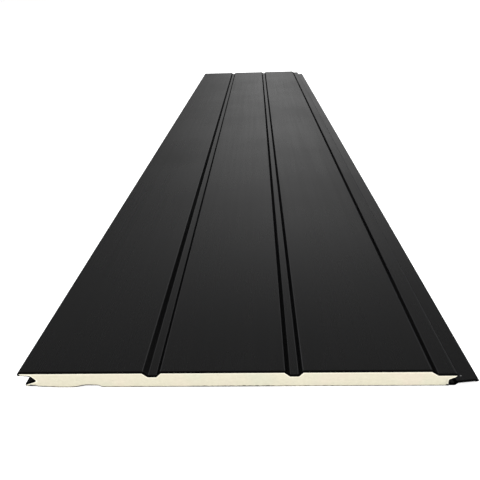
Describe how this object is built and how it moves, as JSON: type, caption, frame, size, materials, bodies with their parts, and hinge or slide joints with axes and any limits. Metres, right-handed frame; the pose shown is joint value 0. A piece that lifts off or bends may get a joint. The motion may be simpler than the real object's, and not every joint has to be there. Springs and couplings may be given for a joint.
{
  "type": "metal siding panel",
  "caption": "Foam-backed metal siding panel: dark grooved face sheet with a slotted nose, a tongue and a hemmed screw flange, for cladding a wall.",
  "frame": {"origin": "middle of the panel's outline, on the plane of its foil back", "axes": "+X across the panel from the nose to the screw flange, +Y along its length, +Z out of the painted face"},
  "size_m": [0.4134, 2, 0.016],
  "materials": {
    "dark_paint": "satin near-black coating on steel",
    "cream_foam": "sawn rigid foam",
    "grey_foil": "dull foil facing"
  },
  "bodies": {
    "root": {"face_sheet": "dark_paint", "foam_core": "cream_foam", "backing_foil": "grey_foil"}
  },
  "joints": []
}
